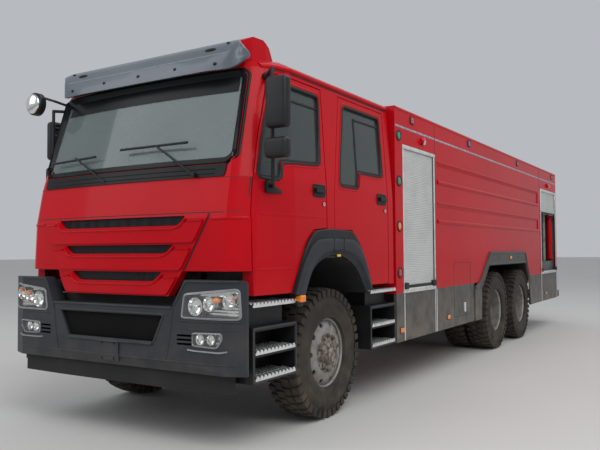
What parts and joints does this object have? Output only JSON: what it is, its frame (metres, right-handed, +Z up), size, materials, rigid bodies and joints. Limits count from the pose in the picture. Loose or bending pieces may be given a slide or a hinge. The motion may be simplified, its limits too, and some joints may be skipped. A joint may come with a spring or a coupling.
{
  "type": "fire truck",
  "caption": "Crew-cab fire truck with a tilting cab, opening doors, steered front wheels, tandem twin rear wheels, lockers behind roller shutters and a roof water monitor.",
  "frame": {"origin": "on the ground below the middle of the truck's bounding box", "axes": "+X forward, +Y to the left, +Z up"},
  "size_m": [10.45, 2.859, 3.182],
  "materials": {
    "chassis_black": "satin",
    "axle_steel": "matt, rusty",
    "red_paint": "gloss",
    "slate_plastic": "satin",
    "black_plastic": "matt",
    "grey_paint": "satin",
    "aluminium": "satin",
    "visor_grey": "satin",
    "glass": "clear",
    "lamp_glass": "clear",
    "lamp_plastic": "gloss",
    "tyre": "matt",
    "rim_steel": "satin",
    "seat_fabric": "matt"
  },
  "bodies": {
    "chassis": {"frame_rails": "chassis_black", "front_axle": "axle_steel", "rear_axles": "axle_steel", "leaf_springs": "axle_steel", "engine": "axle_steel", "drive_line": "axle_steel", "front_bumper": "slate_plastic", "front_lamps": "lamp_glass", "cab_steps": "black_plastic", "step_treads": "aluminium", "front_locker": "red_paint", "tank_section": "red_paint", "pump_room": "red_paint", "roller_shutters": "aluminium", "body_skirts": "grey_paint", "rear_arches": "slate_plastic", "roof_deck": "aluminium", "pump": "rim_steel", "rear_ladder": "aluminium", "rear_step": "chassis_black", "body_lamps": "lamp_plastic"},
    "cab": {"cab_shell": "red_paint", "cab_floor": "chassis_black", "windscreen": "glass", "grille_panel": "red_paint", "grille_mesh": "black_plastic", "sun_visor": "visor_grey", "front_arches": "slate_plastic", "dashboard": "black_plastic", "steering_wheel": "black_plastic", "seats": "seat_fabric", "wipers_kerb_mirror": "black_plastic"},
    "steering_link": {"tie_rod": "axle_steel"},
    "manhole": {"manhole_lid": "aluminium"},
    "turret": {"monitor_turret": "red_paint"},
    "barrel": {"monitor_barrel": "red_paint"},
    "steering_knuckle_left": {"knuckle_left": "axle_steel"},
    "front_door_left": {"front_door_left": "red_paint", "front_door_glass_left": "glass", "mirrors_left": "black_plastic"},
    "rear_door_left": {"rear_door_left": "red_paint", "rear_door_glass_left": "glass"},
    "steering_knuckle_right": {"knuckle_right": "axle_steel"},
    "front_door_right": {"front_door_right": "red_paint", "front_door_glass_right": "glass", "mirrors_right": "black_plastic"},
    "rear_door_right": {"rear_door_right": "red_paint", "rear_door_glass_right": "glass"},
    "wheel_front_left": {"tyre_front_left": "tyre", "rim_front_left": "rim_steel"},
    "wheel_front_right": {"tyre_front_right": "tyre", "rim_front_right": "rim_steel"},
    "wheel_middle_left": {"tyre_middle_left": "tyre", "rim_middle_left": "rim_steel"},
    "wheel_middle_right": {"tyre_middle_right": "tyre", "rim_middle_right": "rim_steel"},
    "wheel_rear_left": {"tyre_rear_left": "tyre", "rim_rear_left": "rim_steel"},
    "wheel_rear_right": {"tyre_rear_right": "tyre", "rim_rear_right": "rim_steel"}
  },
  "joints": [
    {"name": "cab_tilt", "type": "hinge", "parent": "chassis", "child": "cab", "pos_m": [5.125, 0, 1.05], "axis": [0, 1, 0], "range_deg": [0, 45]},
    {"name": "steer_left", "type": "hinge", "parent": "chassis", "child": "steering_knuckle_left", "pos_m": [3.825, 0.925, 0.55], "axis": [0, 0, 1], "range_deg": [-35, 35]},
    {"name": "wheel_front_left_spin", "type": "hinge", "parent": "steering_knuckle_left", "child": "wheel_front_left", "pos_m": [3.825, 1.011, 0.55], "axis": [0, 1, 0], "continuous": true},
    {"name": "front_door_left_hinge", "type": "hinge", "parent": "cab", "child": "front_door_left", "pos_m": [4.997, 1.196, 1.5], "axis": [0, 0, -1], "range_deg": [0, 70]},
    {"name": "rear_door_left_hinge", "type": "hinge", "parent": "cab", "child": "rear_door_left", "pos_m": [3.845, 1.236, 1.5], "axis": [0, 0, -1], "range_deg": [0, 70]},
    {"name": "wheel_middle_left_spin", "type": "hinge", "parent": "chassis", "child": "wheel_middle_left", "pos_m": [-0.955, 0.915, 0.55], "axis": [0, 1, 0], "continuous": true},
    {"name": "wheel_rear_left_spin", "type": "hinge", "parent": "chassis", "child": "wheel_rear_left", "pos_m": [-2.305, 0.915, 0.55], "axis": [0, 1, 0], "continuous": true},
    {"name": "steer_right", "type": "hinge", "parent": "chassis", "child": "steering_knuckle_right", "pos_m": [3.825, -0.925, 0.55], "axis": [0, 0, 1], "range_deg": [-35, 35]},
    {"name": "wheel_front_right_spin", "type": "hinge", "parent": "steering_knuckle_right", "child": "wheel_front_right", "pos_m": [3.825, -1.011, 0.55], "axis": [0, 1, 0], "continuous": true},
    {"name": "front_door_right_hinge", "type": "hinge", "parent": "cab", "child": "front_door_right", "pos_m": [4.997, -1.196, 1.5], "axis": [0, 0, 1], "range_deg": [0, 70]},
    {"name": "rear_door_right_hinge", "type": "hinge", "parent": "cab", "child": "rear_door_right", "pos_m": [3.845, -1.236, 1.5], "axis": [0, 0, 1], "range_deg": [0, 70]},
    {"name": "wheel_middle_right_spin", "type": "hinge", "parent": "chassis", "child": "wheel_middle_right", "pos_m": [-0.955, -0.915, 0.55], "axis": [0, 1, 0], "continuous": true},
    {"name": "wheel_rear_right_spin", "type": "hinge", "parent": "chassis", "child": "wheel_rear_right", "pos_m": [-2.305, -0.915, 0.55], "axis": [0, 1, 0], "continuous": true},
    {"name": "tie_rod_slide", "type": "slide", "parent": "chassis", "child": "steering_link", "axis": [0, 1, 0], "range_m": [-0.12, 0.12]},
    {"name": "manhole_lid_hinge", "type": "hinge", "parent": "chassis", "child": "manhole", "pos_m": [0.345, 0, 2.662], "axis": [0, -1, 0], "range_deg": [0, 100]},
    {"name": "monitor_turn", "type": "hinge", "parent": "chassis", "child": "turret", "pos_m": [-4.375, 0, 2.95], "axis": [0, 0, 1], "continuous": true},
    {"name": "monitor_elevate", "type": "hinge", "parent": "turret", "child": "barrel", "pos_m": [-4.375, 0, 3.12], "axis": [0, -1, 0], "range_deg": [-10, 75]}
  ],
  "couplings": [
    {"joint": "steer_right", "follows": "steer_left", "ratio": 1},
    {"joint": "tie_rod_slide", "follows": "steer_left", "m_per_rad": -0.19}
  ]
}
